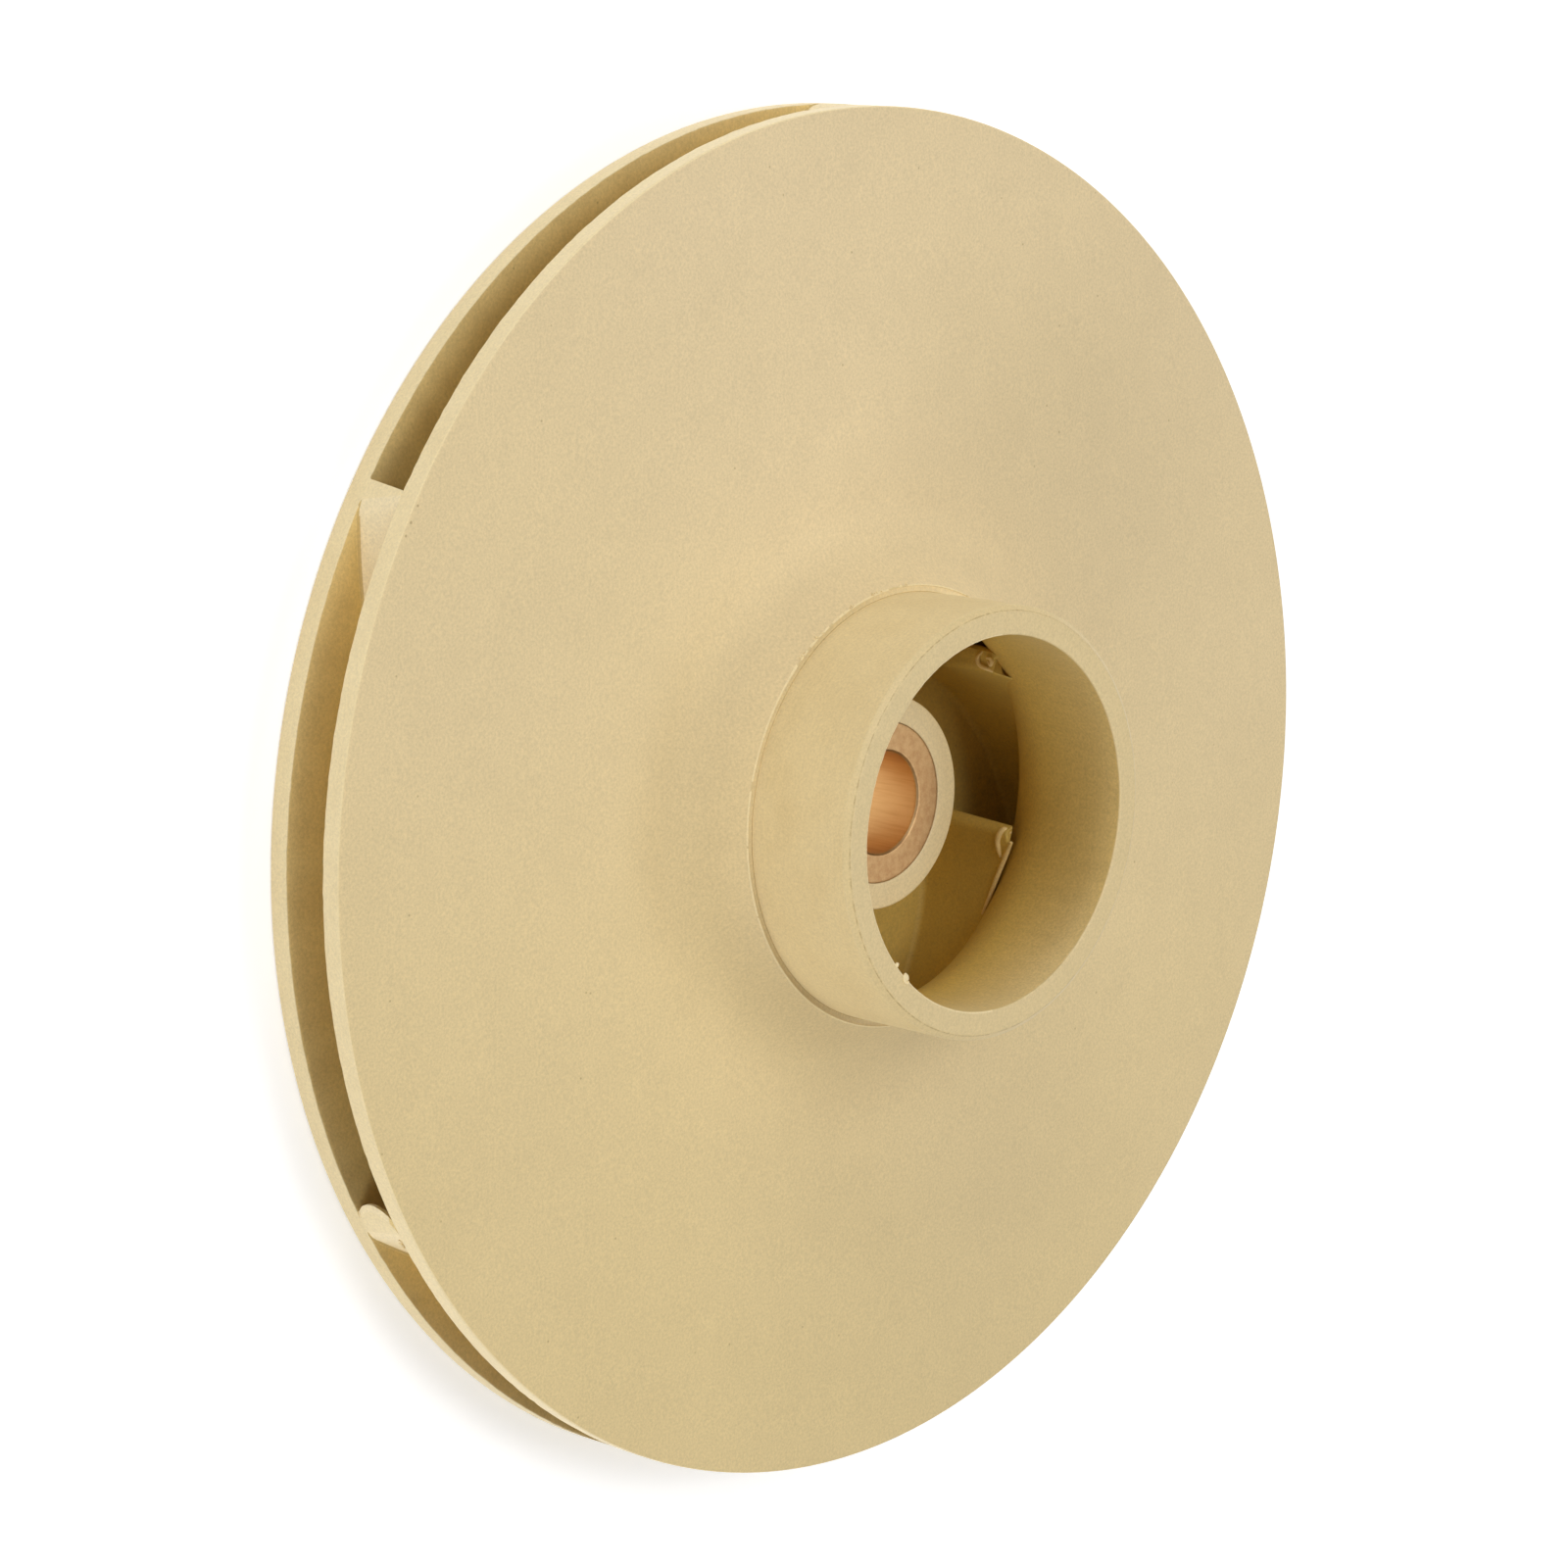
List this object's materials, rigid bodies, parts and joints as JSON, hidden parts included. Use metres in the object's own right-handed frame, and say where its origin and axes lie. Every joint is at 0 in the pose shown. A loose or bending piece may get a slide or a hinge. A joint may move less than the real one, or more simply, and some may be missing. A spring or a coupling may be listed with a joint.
{
  "type": "pump impeller",
  "caption": "Closed radial pump impeller of moulded plastic with a turned eye collar, backward-curved vanes and a bronze bush in its hub.",
  "frame": {"origin": "on the impeller's axis at its back face", "axes": "+Z along the axis, out of the suction eye; +X through the middle of a vane's tip"},
  "size_m": [0.16, 0.16, 0.032],
  "materials": {
    "moulded_plastic": "matt sand-coloured glass-filled plastic, as moulded, collar turned",
    "bush_bronze": "turned bronze, fine turning lines in the bore"
  },
  "bodies": {
    "root": {"back_shroud": "moulded_plastic", "front_shroud": "moulded_plastic", "hub_bush": "bush_bronze"}
  },
  "joints": []
}
